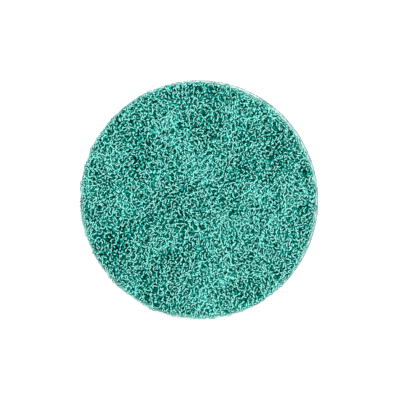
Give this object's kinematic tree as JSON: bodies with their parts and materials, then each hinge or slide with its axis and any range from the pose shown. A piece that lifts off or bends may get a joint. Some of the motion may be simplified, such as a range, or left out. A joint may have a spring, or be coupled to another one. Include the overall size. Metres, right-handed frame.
{
  "type": "surface conditioning disc",
  "caption": "Flat round pad of open, crimped-fibre abrasive web on a hook-and-loop backing cloth, for cleaning, blending and deburring metal.",
  "frame": {"origin": "centre of the backing cloth's underside, where it meets the backing pad", "axes": "+Z out through the abrasive face; +X and +Y in the plane of the disc"},
  "size_m": [0.075, 0.075, 0.0068],
  "materials": {
    "abrasive_web": "open web of crimped nylon fibre coated with resin and abrasive grain, teal green",
    "loop_backing": "brushed loop cloth, pale grey"
  },
  "bodies": {
    "root": {"abrasive_web": "abrasive_web", "loop_backing": "loop_backing"}
  },
  "joints": []
}
